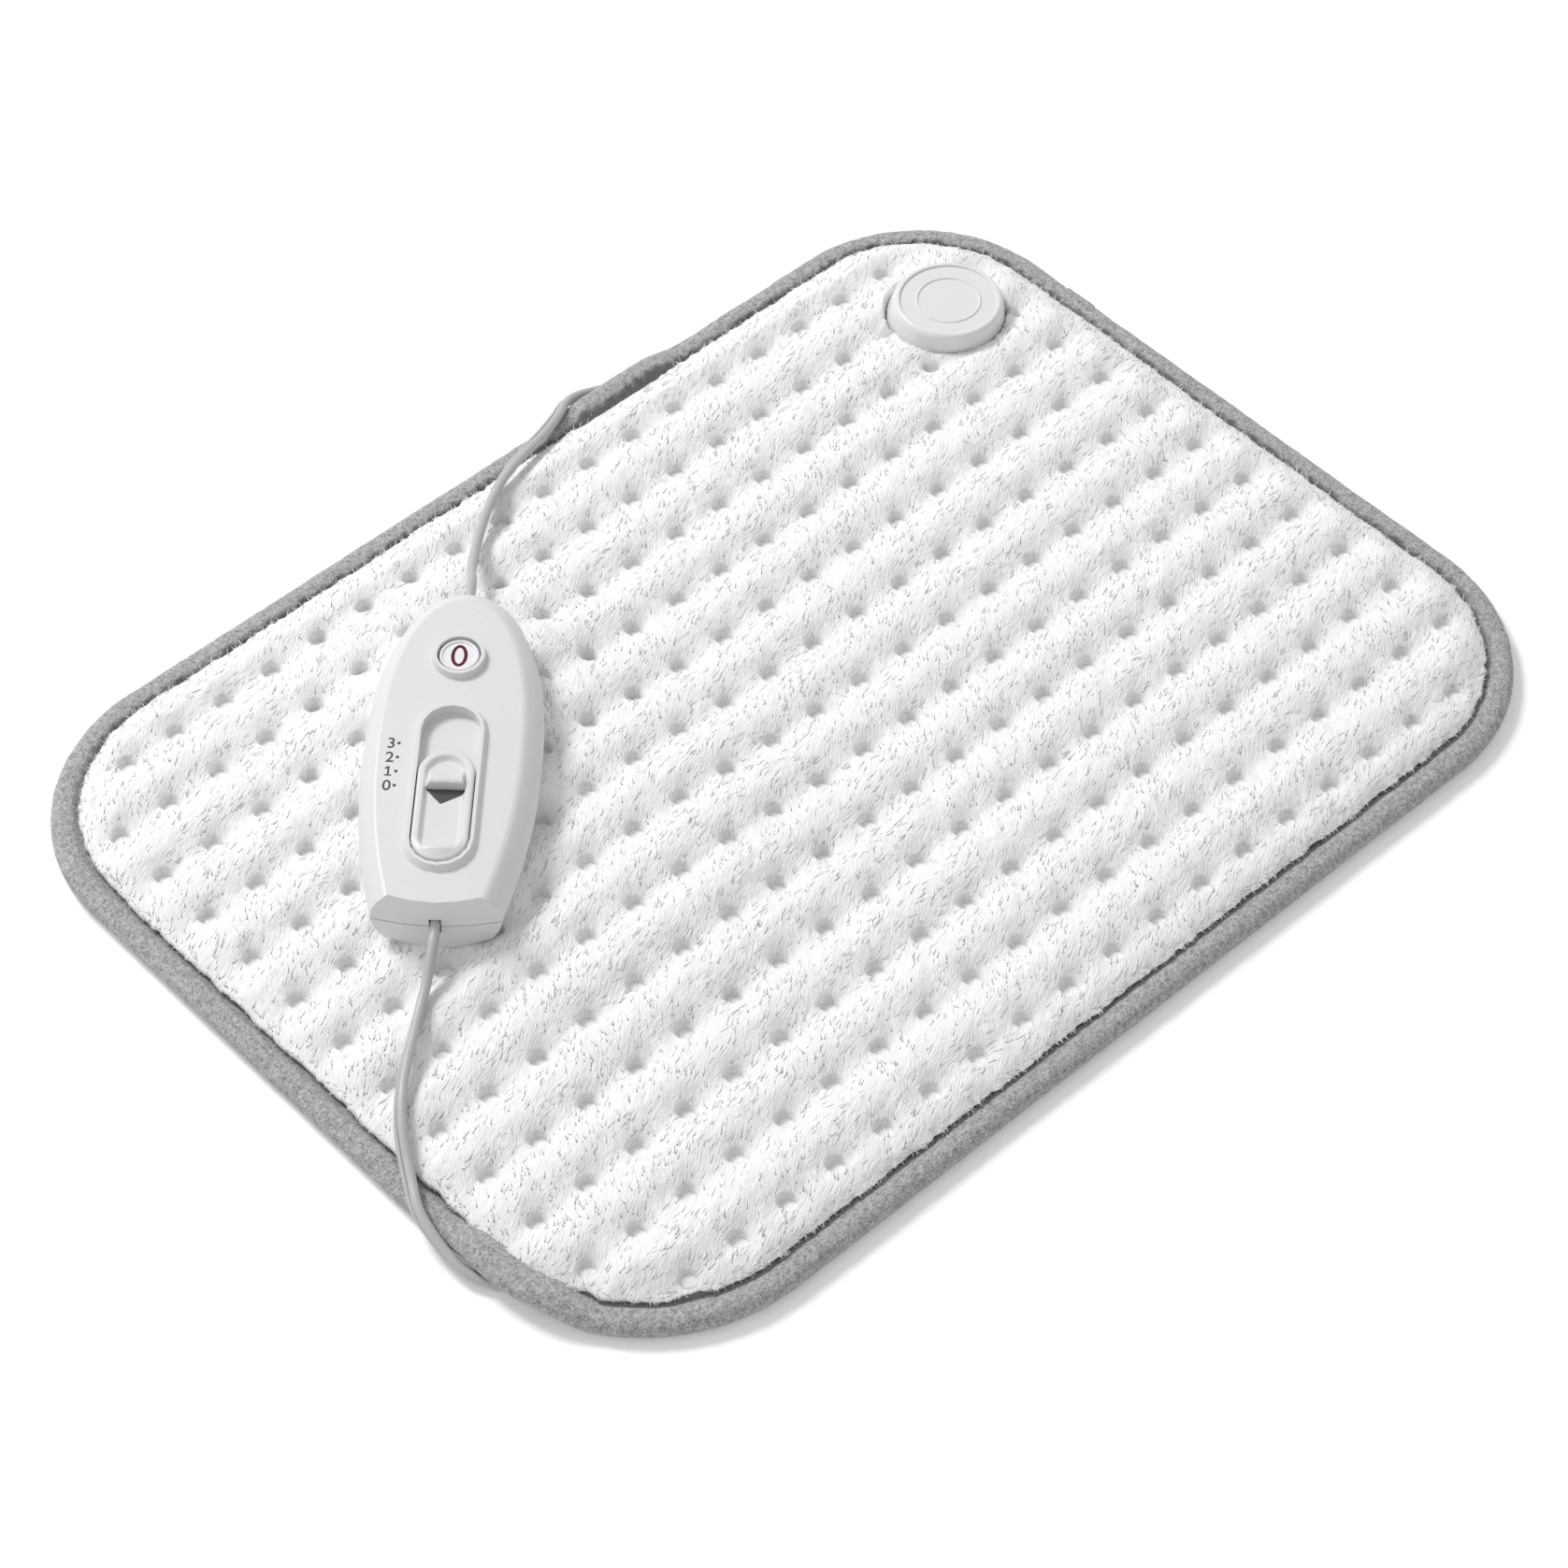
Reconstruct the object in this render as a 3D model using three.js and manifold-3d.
// Heating pad with a slide controller, in millimetres, +Z up.
// The origin is on the floor under the middle of the pad, +X runs along the pad's long side.
import * as THREE from 'three';
import * as BufferGeometryUtils from 'three/addons/utils/BufferGeometryUtils.js';
import Module from 'manifold-3d';

const wasm = await Module();
wasm.setup();

// The gap between pieces that touch, and how far a cut runs past the face it opens.
const clearance = 0.3;
const overrun = 1;
const weldDistance = 0.001;
const bowShare = 0.0001;

// The pad and its four corner radii, counter-clockwise from the corner with the socket.
const pad = {
  length: 440,
  width: 328,
  socketCornerRadius: 59,
  cordCornerRadius: 66,
  leadCornerRadius: 70,
  freeCornerRadius: 67,
  cornerSteps: 7,
};

// The fleece tape round the edge: a rounded bead with a slot that holds the covers.
const binding = {
  width: 10.5,
  height: 7.4,
  beadShares: [0, 0.146, 0.5, 0.854, 1],
  beadDepthShares: [1, 0.293, 0, 0.293, 1],
  lipHeight: 5.5,
  slotFloor: 2.6,
  slotHeight: 2.6,
  slotDepth: 6,
};

// The sheets, by the height of their faces over the floor where the pad lies flat.
const layers = {
  coverBottom: 3.5,
  coverThickness: 1,
  coverEdge: 0.6,
  carrierThickness: 0.8,
  carrierInset: 16,
  wireDiameter: 1.6,
  wireRoom: 3,
  wireLift: 0.85,
  seamInset: 11,
  flatInset: 14,
  plushEdgeInset: 12,
  plushEdgeHeight: 10.2,
  plushEdgeThickness: 1.1,
};

// The tufts: a grid of spot welds with puffs between them.
const tufts = {
  pitchX: 20.39,
  pitchY: 23.16,
  margin: 24,
  shiftX: -2.395,
  shiftY: -2.26,
  dotHeight: 9.8,
  rowHeight: 12.4,
  puffHeight: 14.2,
  leastThickness: 2.2,
};

// Where the two cords pass under the binding it is lifted over them.
const crossings = {
  rise: 3.9,
  flat: 13,
  ramp: 20,
  cordPastCorner: 99,
  leadPastCorner: 11,
  stationShares: [-1, -0.62, -0.25, 0.25, 0.62, 1],
};

// The controller stands this far in from the pad's end and side, turned and with its nose a little raised.
const controller = {
  fromEnd: 118.5,
  fromSide: 110.1,
  z: 19.7,
  turn: THREE.MathUtils.degToRad(45),
  tilt: THREE.MathUtils.degToRad(2.33),
  height: 20,
  parting: 9.45,
  halfWidth: 29.5,
  widest: -8,
  nose: 64.5,
  end: 71.9,
  endHalfWidth: 20.3,
  endBow: 2.6,
  endSlant: 3.2,
  wall: 2.2,
  noseRoundness: 2.4,
  tailRoundness: 2.1,
  sideSteps: 5,
  noseSteps: 11,
  endSteps: 4,
  // Rings of the two shells, from the parting line to the top face and to the base.
  upperHeightShares: [0, 0.33, 0.62, 0.85, 1],
  upperInsetShares: [0, 0.12, 0.42, 0.8, 1.12],
  lowerHeightShares: [0, 0.4, 0.78, 1],
  lowerInsetShares: [0, 0.14, 0.5, 1.25],
  shoulder: 6,
  noseShoulder: 8.6,
};

// The raised collars round the slider and the window.
const collar = { height: 2.5, baseMargin: 2.6, rimMargin: 1.2 };

const slider = {
  centre: -24,
  recessLength: 64,
  recessWidth: 19.4,
  recessFloor: 1.5,
  floorThickness: 1.6,
  tubWall: 1.8,
  knobLength: 44.8,
  knobWidth: 18.5,
  knobRim: 2.9,
  endGap: 0.6,
  scoopMargin: 2.2,
  scoopDepth: 2.1,
  scoopSlope: 2.2,
  ridgeLength: 4.4,
  ridgeCrest: 1.6,
  ridgeWidth: 13.4,
  ridgeHeight: 2.1,
  ridgeFromTop: 14.6,
  stemLength: 8.6,
  stemWidth: 7,
  barbWidth: 9.4,
  barbHeight: 1.7,
  carriageLength: 28,
  carriageWidth: 15,
  carriageThickness: 2.2,
  railThickness: 1.4,
  railDepth: 3.6,
  positions: 4,
  notchDepth: 0.9,
  notchWidth: 1.8,
  notchTrack: 2.6,
};
slider.travel = slider.recessLength - slider.knobLength - 2 * slider.endGap;

const lens = {
  centre: 30,
  radius: 7,
  dishRadius: 6,
  dishDepth: 0.9,
  belowRim: 0.7,
  flangeRadius: 8.4,
  flangeThickness: 1.6,
};

const board = {
  start: -50,
  end: 36,
  halfWidth: 16,
  noseHalfWidth: 11,
  noseLength: 10,
  thickness: 1.6,
  underside: 6.4,
  postRadius: 2,
};

const light = { radius: 3.6, domeHeight: 2.4 };
const fuse = { length: 20, radius: 2.6, capLength: 5, waist: 0.3, x: 8, besideRail: 0.6 };
const capacitor = { length: 12, width: 6, headroom: 2.9, bevel: 0.8, x: 15, y: 12 };
const strip = { length: 34, width: 8, thickness: 0.4, start: -50 };
const wiper = { length: 8, width: 5, thickness: 0.5, bend: 2.4 };
const detent = { width: 2, thickness: 0.6, footLength: 7, tipLength: 2.4 };

const screw = {
  headRadius: 2.6,
  headHeight: 2.1,
  headDepth: 0.5,
  shankRadius: 1.4,
  length: 14.4,
  bossRadius: 3.4,
  boreDepth: 6,
  driveRadius: 1.2,
  driveDepth: 1,
  rearX: -58,
  rearY: 13,
  frontX: 41,
  frontY: 13,
};

// The flat twin flex of both cords and the clamps that hold it in the controller.
const flex = { width: 5, thickness: 3.2, notchGap: 0.3, sides: 8 };
const clamp = { length: 5, halfWidth: 6, coverShare: 0.4324, ribHalfWidth: 1.4, rearX: -63.5, frontX: 45.5 };

// The round coupling in the corner: cap on top, body through the sheets, connector below.
const socket = {
  fromEnd: 47.7,
  fromSide: 59.8,
  capRadius: 21.5,
  capTopRadius: 19.2,
  capBottom: 10.5,
  capHeight: 10,
  capWall: 2,
  capLean: 1.4,
  capGroove: 0.4,
  capRingRadius: 11.6,
  capRingWidth: 0.9,
  tubeRadius: 14.7,
  tubeTop: 13.4,
  tubeWall: 2.1,
  seatWall: 1.8,
  flangeRadius: 22,
  flangeBottom: 1.8,
  flangeThickness: 1.4,
  cupTop: 9.4,
  ceiling: 1.8,
  sides: 36,
};
const connector = {
  height: 6.4,
  bottom: 0.2,
  bossLength: 23,
  bossWidth: 8,
  bossHeight: 3,
  angle: THREE.MathUtils.degToRad(260),
  pinRadius: 1,
  pinSpacing: 9,
  pinDepth: 3.4,
  pinHeadRadius: 2,
  pinHead: 0.8,
};

// The flat two-pin mains plug, lying on its tapered side.
const plug = {
  faceX: 48,
  bodyLength: 38,
  faceWidth: 35.3,
  faceThickness: 13.7,
  rearWidth: 22,
  rearThickness: 10,
  taperShare: 0.36,
  cornerShares: [0.62, 0.88, 1],
  sideHeightShares: [1, 0.62, 0.2],
  reliefLength: 16,
  reliefRadius: 3.9,
  reliefTipRadius: 3.1,
  pinRadius: 2,
  pinLength: 19,
  pinSpacing: 18.6,
  pinTip: 1.2,
};

// The stored length of the mains lead, wound flat in two layers.
const coil = {
  middleRadius: 30,
  turns: 7,
  extraTurnShare: 0.125,
  gap: 0.45,
  floorGap: 0.6,
  stepsPerTurn: 24,
  centreX: -30,
  tieWidth: 8,
  tieThickness: 0.3,
  tieAngle: THREE.MathUtils.degToRad(60),
};

// How far the sheets rise over the plug and the coil that lie under them.
const mound = {
  lengthStops: [-108, -84, -60, -36, -20, -6, 8, 48, 56, 67, 77, 85],
  widthStops: [-114, -90, -64, -40, -28, -20, 0, 20, 28, 37, 46],
  plugRises: [0, 0, 0, 0, 2.4, 4.7, 7.1, 10.6, 9, 6.8, 2.7, 0],
  plugWidthShares: [0, 0, 0, 0, 0.68, 1, 1, 1, 0.68, 0.25, 0],
  coilRise: 4.9,
  coilFull: 50,
  coilFoot: 74,
};

// The heating wire's rows run between the rows of welds.
const wire = {
  sides: 5,
  westInset: 44,
  eastInset: 43,
  beforeSocket: 33.3,
  returnInset: 22,
  moundStep: 8,
  turnSteps: 4,
};

// The cords' routes, chosen by hand: x, y, z and the twist of the flat flex in degrees.
const padCordRoute = [
  [-72.5, 82.9, 30.81, -90], [-62.9, 92.5, 31.38, -90], [-55.1, 100.3, 31.8, -90],
  [-49.9, 105.7, 30.9, -90], [-44.9, 112.1, 27.6, -90], [-36.9, 120.5, 22.7, -88],
  [-28, 129, 18.9, -84], [-18.4, 136.4, 17.8, -74], [-7.3, 143.4, 17.6, -58],
  [3.3, 148.4, 17, -42], [14.3, 152.7, 15.1, -30], [25.1, 157, 12.6, -24],
  [34.8, 161.2, 11.1, -30], [42.6, 165.5, 9.3, -52], [49.6, 167.5, 6.2, -78],
  [56.6, 166.9, 3.8, -112], [63.3, 164.8, 2.5, -150], [69.4, 160.2, 1.8, -175],
  [75, 152.6, 1.65, -180], [80, 142.6, 1.62, -180], [84, 128.4, 1.62, -180],
  [87.1, 109.2, 1.62, -180], [88.6, 89.2, 1.62, -180], [94.1, 68.7, 1.62, -180],
  [105.1, 52.7, 1.62, -180], [120.6, 43.7, 1.62, -180], [137.6, 42.7, 1.62, -180],
  [152.1, 48.2, 1.62, -180], [161.6, 57.2, 1.62, -180], [166, 67.8, 1.62, -180],
  [168.25, 80.96, 1.62, -180],
];
const mainsLeadRoute = [
  [-141.3, 14.1, 26.86, 90], [-147.7, 7.7, 26.5, 90], [-154.1, 1.3, 26.1, 90],
  [-157.5, -1.9, 25.3, 90], [-161.1, -4.8, 23, 88], [-166.5, -8.8, 19.6, 84],
  [-173.5, -13.8, 17.8, 78], [-182.6, -21.1, 17.5, 72], [-190.7, -27.6, 17.5, 66],
  [-198.5, -34.8, 17.2, 60], [-205.1, -42.2, 15.6, 50], [-210.8, -50.6, 12.9, 42],
  [-215.6, -59, 10.9, 46], [-219.9, -67.4, 9.7, 62], [-221.6, -75.6, 7.6, 84],
  [-222, -83.8, 5.4, 98], [-221, -92.4, 3.3, 124], [-216.6, -100.2, 2.15, 162],
  [-208.9, -106.8, 1.7, 179], [-200.3, -111.6, 1.62, 180], [-190.2, -113.6, 1.62, 180],
  [-178.9, -111.4, 1.62, 180], [-166.9, -104.4, 1.62, 180], [-154.9, -91.8, 1.62, 180],
  [-144.9, -75.8, 1.62, 180], [-137.9, -56.8, 1.62, 180], [-134.9, -36.8, 1.7, 180],
  [-134.3, -16.8, 2, 180], [-134.26, -0.76, 2.2, 180],
];
const cordSteps = { pad: 46, lead: 32, plug: 2 };

const white = { fleece: 0xf4f4f2, plastic: 0xe9e9e8, gloss: 0xf0f0ef };
const finishes = {
  plush: { color: white.fleece, roughness: 0.95, metalness: 0 },
  tape: { color: 0x9a9a9b, roughness: 0.95, metalness: 0 },
  nonwoven: { color: 0xdcdcd8, roughness: 0.9, metalness: 0 },
  abs: { color: white.plastic, roughness: 0.45, metalness: 0 },
  gloss: { color: white.gloss, roughness: 0.25, metalness: 0 },
  clear: { color: 0xf6f6f4, roughness: 0.15, metalness: 0 },
  pvc: { color: 0xe2e2e1, roughness: 0.5, metalness: 0 },
  brass: { color: 0xc8a860, roughness: 0.35, metalness: 1 },
  steel: { color: 0xb8bbbd, roughness: 0.35, metalness: 1 },
  board: { color: 0x2f6b46, roughness: 0.6, metalness: 0 },
  film: { color: 0x6b3a2a, roughness: 0.5, metalness: 0 },
  wire: { color: 0xd9c9b0, roughness: 0.6, metalness: 0 },
};

const heatingPad = new THREE.Group();
const { degToRad, lerp, clamp: limit } = THREE.MathUtils;

// Places that follow the pad's size.
const controllerX = controller.fromEnd - pad.length / 2;
const controllerY = pad.width / 2 - controller.fromSide;
const socketX = pad.length / 2 - socket.fromEnd;
const socketY = pad.width / 2 - socket.fromSide;
const tuftColumns = Math.floor((pad.length - 2 * tufts.margin) / tufts.pitchX) + 1;
const tuftRows = 2 * Math.floor((pad.width / 2 - tufts.margin) / tufts.pitchY) + 1;
const firstTuftX = tufts.shiftX - (tuftColumns - 1) * tufts.pitchX / 2;
const firstTuftY = tufts.shiftY + (tuftRows - 1) * tufts.pitchY / 2;

// Helpers that turn points into closed bodies and join or cut them.
function add(parent, name, geometry, finish) {
  const mesh = new THREE.Mesh(geometry, new THREE.MeshStandardMaterial(finishes[finish]));
  mesh.name = name;
  parent.add(mesh);
  return mesh;
}

function signedVolume(points, faces) {
  let volume = 0;
  for (const [a, b, c] of faces) volume += points[a].dot(points[b].clone().cross(points[c]));
  return volume;
}

function bodyFrom(points, faces) {
  const outward = signedVolume(points, faces) > 0 ? faces : faces.map(([a, b, c]) => [a, c, b]);
  const geometry = new THREE.BufferGeometry().setFromPoints(points);
  geometry.setIndex(outward.flat());
  geometry.computeVertexNormals();
  return geometry;
}

function solidOf(geometry) {
  const bare = geometry.clone();
  bare.deleteAttribute('normal');
  bare.deleteAttribute('uv');
  const merged = BufferGeometryUtils.mergeVertices(bare, weldDistance);
  return new wasm.Manifold(new wasm.Mesh({
    numProp: 3,
    vertProperties: merged.attributes.position.array,
    triVerts: Uint32Array.from(merged.index.array),
  }));
}

function geometryOf(solid) {
  const mesh = solid.getMesh();
  const geometry = new THREE.BufferGeometry();
  geometry.setAttribute('position', new THREE.BufferAttribute(mesh.vertProperties, 3));
  geometry.setIndex(new THREE.BufferAttribute(mesh.triVerts, 1));
  geometry.computeVertexNormals();
  return geometry;
}

// Straight runs are bowed towards the surface a little, so that no point on them is skipped.
function bowed(points, share) {
  const centre = new THREE.Box2().setFromPoints(points).getCenter(new THREE.Vector2());
  const reach = Math.max(...points.map((p) => p.distanceTo(centre)));
  return points.map((p) => {
    const grow = 1 + share * (p.distanceTo(centre) / reach) ** 2;
    return p.clone().sub(centre).multiplyScalar(grow).add(centre);
  });
}

function flatFaces(contour, holes = []) {
  const all = [contour, ...holes].flat();
  const outer = bowed(contour, bowShare);
  const inner = holes.map((hole) => bowed(hole, -bowShare));
  return THREE.ShapeUtils.triangulateShape(outer, inner).map(([a, b, c]) => {
    const turn = (all[b].x - all[a].x) * (all[c].y - all[a].y)
      - (all[b].y - all[a].y) * (all[c].x - all[a].x);
    return turn > 0 ? [a, b, c] : [a, c, b];
  });
}

// Joins level outlines with as many points each into one closed body.
function loft(rings) {
  const count = rings[0].points.length;
  const points = rings.flatMap((ring) => ring.points.map((p) => new THREE.Vector3(p.x, p.y, ring.z)));
  const faces = [];
  for (let level = 0; level + 1 < rings.length; level++) {
    for (let i = 0; i < count; i++) {
      const a = level * count + i;
      const b = level * count + (i + 1) % count;
      faces.push([a, b, b + count], [a, b + count, a + count]);
    }
  }
  const top = (rings.length - 1) * count;
  flatFaces(rings[0].points).forEach(([a, b, c]) => faces.push([a, c, b]));
  flatFaces(rings[rings.length - 1].points).forEach(([a, b, c]) => faces.push([top + a, top + b, top + c]));
  return bodyFrom(points, faces);
}

function box(x0, x1, y0, y1, z0, z1) {
  const geometry = new THREE.BoxGeometry(x1 - x0, y1 - y0, z1 - z0);
  return geometry.translate((x0 + x1) / 2, (y0 + y1) / 2, (z0 + z1) / 2);
}

function cylinder(x, y, radius, z0, z1, sides = 12) {
  const geometry = new THREE.CylinderGeometry(radius, radius, z1 - z0, sides);
  return geometry.rotateX(Math.PI / 2).translate(x, y, (z0 + z1) / 2);
}

// A turned body about +Z from [radius, height] pairs that start and end on the axis.
function turned(profile, sides) {
  const points = profile.map(([radius, height]) => new THREE.Vector2(radius, height));
  return new THREE.LatheGeometry(points, sides).rotateX(Math.PI / 2);
}

function stadium(centre, length, width, steps = 8) {
  const radius = width / 2;
  const points = [];
  for (const side of [1, -1]) {
    for (let k = 0; k <= steps; k++) {
      const angle = -Math.PI / 2 + Math.PI * k / steps;
      points.push(new THREE.Vector2(
        centre + side * (length / 2 - radius + radius * Math.cos(angle)),
        side * radius * Math.sin(angle),
      ));
    }
  }
  return points;
}

function circle(x, y, radius, sides) {
  return Array.from({ length: sides }, (_, k) => {
    const angle = 2 * Math.PI * k / sides;
    return new THREE.Vector2(x + radius * Math.cos(angle), y + radius * Math.sin(angle));
  });
}

function prism(points, z0, z1) {
  return loft([{ points, z: z0 }, { points, z: z1 }]);
}

// A path through given points whose section keeps a given twist about the path.
class RoutedPath extends THREE.Curve {
  constructor(points, twists) {
    super();
    this.points = points;
    this.twists = twists;
  }

  getSpacedPoints() {
    return this.points;
  }

  computeFrenetFrames() {
    const up = new THREE.Vector3(0, 0, 1);
    const tangents = this.points.map((_, i) => {
      const before = this.points[Math.max(i - 1, 0)];
      const after = this.points[Math.min(i + 1, this.points.length - 1)];
      return after.clone().sub(before).normalize();
    });
    const normals = tangents.map((tangent, i) => {
      const side = up.clone().cross(tangent).normalize();
      return side.applyAxisAngle(tangent, this.twists[i]);
    });
    const binormals = tangents.map((tangent, i) => tangent.clone().cross(normals[i]));
    return { tangents, normals, binormals };
  }
}

function sweep(section, points, twists = points.map(() => 0)) {
  const path = new RoutedPath(points, twists);
  return new THREE.ExtrudeGeometry(new THREE.Shape(section), {
    steps: points.length - 1,
    extrudePath: path,
  });
}

// The pad's outline as a walk: each stop has its place, outward normal and lift over a cord.
const corners = [
  { x: 1, y: 1, radius: pad.socketCornerRadius },
  { x: -1, y: 1, radius: pad.cordCornerRadius },
  { x: -1, y: -1, radius: pad.leadCornerRadius },
  { x: 1, y: -1, radius: pad.freeCornerRadius },
];

function edgePieces() {
  const pieces = [];
  let start = 0;
  corners.forEach((corner, k) => {
    const next = corners[(k + 1) % corners.length];
    const centre = new THREE.Vector2(
      corner.x * (pad.length / 2 - corner.radius),
      corner.y * (pad.width / 2 - corner.radius),
    );
    const arc = corner.radius * Math.PI / 2;
    pieces.push({ start, length: arc, centre, radius: corner.radius, angle: k * Math.PI / 2 });
    start += arc;
    const side = k % 2 === 0 ? pad.length : pad.width;
    const run = side - corner.radius - next.radius;
    pieces.push({ start, length: run, centre, radius: corner.radius, angle: (k + 1) * Math.PI / 2 });
    start += run;
  });
  return pieces;
}

const edges = edgePieces();
const cordCrossing = edges[1].start + crossings.cordPastCorner;
const leadCrossing = edges[4].start + crossings.leadPastCorner;

function edgeAt(distance) {
  const index = edges.findLastIndex((piece) => distance >= piece.start);
  const piece = edges[index];
  const along = distance - piece.start;
  const isArc = index % 2 === 0;
  const angle = isArc ? piece.angle + along / piece.radius : piece.angle;
  const normal = new THREE.Vector2(Math.cos(angle), Math.sin(angle));
  const place = piece.centre.clone().addScaledVector(normal, piece.radius);
  if (!isArc) place.add(new THREE.Vector2(-Math.sin(angle), Math.cos(angle)).multiplyScalar(along));
  const away = Math.min(Math.abs(distance - cordCrossing), Math.abs(distance - leadCrossing));
  const share = limit((away - crossings.flat) / crossings.ramp, 0, 1);
  return { place, normal, lift: crossings.rise * (1 + Math.cos(Math.PI * share)) / 2 };
}

function edgeStops() {
  const distances = [];
  edges.forEach((piece, index) => {
    if (index % 2) return;
    for (let k = 0; k <= pad.cornerSteps; k++) distances.push(piece.start + piece.length * k / pad.cornerSteps);
  });
  const reach = crossings.flat + crossings.ramp;
  for (const crossing of [cordCrossing, leadCrossing]) {
    crossings.stationShares.forEach((share) => distances.push(crossing + share * reach));
  }
  distances.sort((a, b) => a - b);
  const least = crossings.ramp / pad.cornerSteps;
  const kept = distances.filter((d, i) => i === 0 || d - distances[i - 1] > least);
  return kept.map(edgeAt);
}

const stops = edgeStops();

function edgeRing(inset, height, liftShare) {
  return stops.map(({ place, normal, lift }) => {
    const at = place.clone().addScaledVector(normal, -inset);
    return new THREE.Vector3(at.x, at.y, height + lift * liftShare);
  });
}

// The mound over the stored plug and coil, as heights on a turned grid.
function toController(x, y) {
  const dx = x - controllerX;
  const dy = y - controllerY;
  const cos = Math.cos(controller.turn);
  const sin = Math.sin(controller.turn);
  return { u: dx * cos + dy * sin, v: dy * cos - dx * sin };
}

function fromController(u, v) {
  const cos = Math.cos(controller.turn);
  const sin = Math.sin(controller.turn);
  return new THREE.Vector2(controllerX + u * cos - v * sin, controllerY + u * sin + v * cos);
}

const coilPitch = flex.width + coil.gap;
const coilSweep = 2 * Math.PI * (coil.turns + coil.extraTurnShare);
const coilSpread = coilPitch * coilSweep / (8 * Math.PI);
const coilOuterRadius = coil.middleRadius + coilSpread;

function moundHeight(i, j) {
  const u = mound.lengthStops[i];
  const v = mound.widthStops[j];
  const fromCoil = Math.hypot(u - coil.centreX, v + coilOuterRadius);
  const share = limit((fromCoil - mound.coilFull) / (mound.coilFoot - mound.coilFull), 0, 1);
  const overCoil = mound.coilRise * (1 + Math.cos(Math.PI * share)) / 2;
  return Math.max(mound.plugRises[i] * mound.plugWidthShares[j], overCoil);
}

const moundHeights = mound.lengthStops.map((_, i) => mound.widthStops.map((__, j) => moundHeight(i, j)));

function moundCell(i, j) {
  const h = moundHeights;
  if (i < 0 || j < 0 || i + 1 >= h.length || j + 1 >= h[0].length) return false;
  return h[i][j] + h[i + 1][j] + h[i][j + 1] + h[i + 1][j + 1] > weldDistance;
}

function moundDiagonal(i, j) {
  const h = moundHeights;
  return h[i][j] + h[i + 1][j + 1] > h[i + 1][j] + h[i][j + 1];
}

function reliefAt(x, y) {
  const { u, v } = toController(x, y);
  const i = mound.lengthStops.findLastIndex((stop) => u >= stop);
  const j = mound.widthStops.findLastIndex((stop) => v >= stop);
  if (!moundCell(i, j)) return 0;
  const h = moundHeights;
  const s = (u - mound.lengthStops[i]) / (mound.lengthStops[i + 1] - mound.lengthStops[i]);
  const t = (v - mound.widthStops[j]) / (mound.widthStops[j + 1] - mound.widthStops[j]);
  const [low, right, left, high] = [h[i][j], h[i + 1][j], h[i][j + 1], h[i + 1][j + 1]];
  if (moundDiagonal(i, j)) {
    return s > t ? low + s * (right - low) + t * (high - right) : low + t * (left - low) + s * (high - left);
  }
  return s + t < 1 ? low + s * (right - low) + t * (left - low)
    : high + (1 - s) * (left - high) + (1 - t) * (right - high);
}

// A grid of cells over the plan, some left out, with the outline of those that stay.
function gridPatch(columns, rows, placeAt, hasCell, cellFaces) {
  const keys = new Map();
  const places = [];
  const at = ([i, j]) => {
    const key = `${i},${j}`;
    if (!keys.has(key)) {
      keys.set(key, places.length);
      places.push(placeAt(i, j));
    }
    return keys.get(key);
  };
  const faces = [];
  for (let i = 0; i + 1 < columns; i++) {
    for (let j = 0; j + 1 < rows; j++) {
      if (hasCell(i, j)) cellFaces(i, j).forEach((face) => faces.push(face.map(at)));
    }
  }
  const directed = new Set(faces.flatMap(([a, b, c]) => [`${a},${b}`, `${b},${c}`, `${c},${a}`]));
  const border = new Map();
  for (const [a, b, c] of faces) {
    for (const [from, to] of [[a, b], [b, c], [c, a]]) {
      if (!directed.has(`${to},${from}`)) border.set(from, to);
    }
  }
  const outline = [];
  let current = border.keys().next().value;
  do {
    outline.push(current);
    current = border.get(current);
  } while (current !== outline[0]);
  return { places, faces, outline };
}

const moundPatch = gridPatch(
  mound.lengthStops.length,
  mound.widthStops.length,
  (i, j) => fromController(mound.lengthStops[i], mound.widthStops[j]),
  moundCell,
  (i, j) => {
    const [a, b, c, d] = [[i, j], [i + 1, j], [i + 1, j + 1], [i, j + 1]];
    return moundDiagonal(i, j) ? [[a, b, c], [a, c, d]] : [[a, b, d], [b, c, d]];
  },
);

// One face of a sheet: rings that step inwards from its edge, then a patch in the middle.
function sheetFace(rings, patch, heightAt) {
  const points = rings.flat();
  const faces = [];
  const count = stops.length;
  for (let ring = 0; ring + 1 < rings.length; ring++) {
    for (let k = 0; k < count; k++) {
      const a = ring * count + k;
      const b = ring * count + (k + 1) % count;
      faces.push([a, b, b + count], [a, b + count, a + count]);
    }
  }
  const innerStart = (rings.length - 1) * count;
  const patchStart = points.length;
  patch.places.forEach((p, index) => points.push(new THREE.Vector3(p.x, p.y, heightAt(p.x, p.y, index))));
  patch.faces.forEach(([a, b, c]) => faces.push([patchStart + a, patchStart + b, patchStart + c]));
  const outer = rings[rings.length - 1].map((p) => new THREE.Vector2(p.x, p.y));
  const inner = patch.outline.map((index) => patch.places[index]);
  const indexOf = (k) => (k < count ? innerStart + k : patchStart + patch.outline[k - count]);
  flatFaces(outer, [inner]).forEach(([a, b, c]) => faces.push([indexOf(a), indexOf(b), indexOf(c)]));
  return { points, faces };
}

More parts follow.
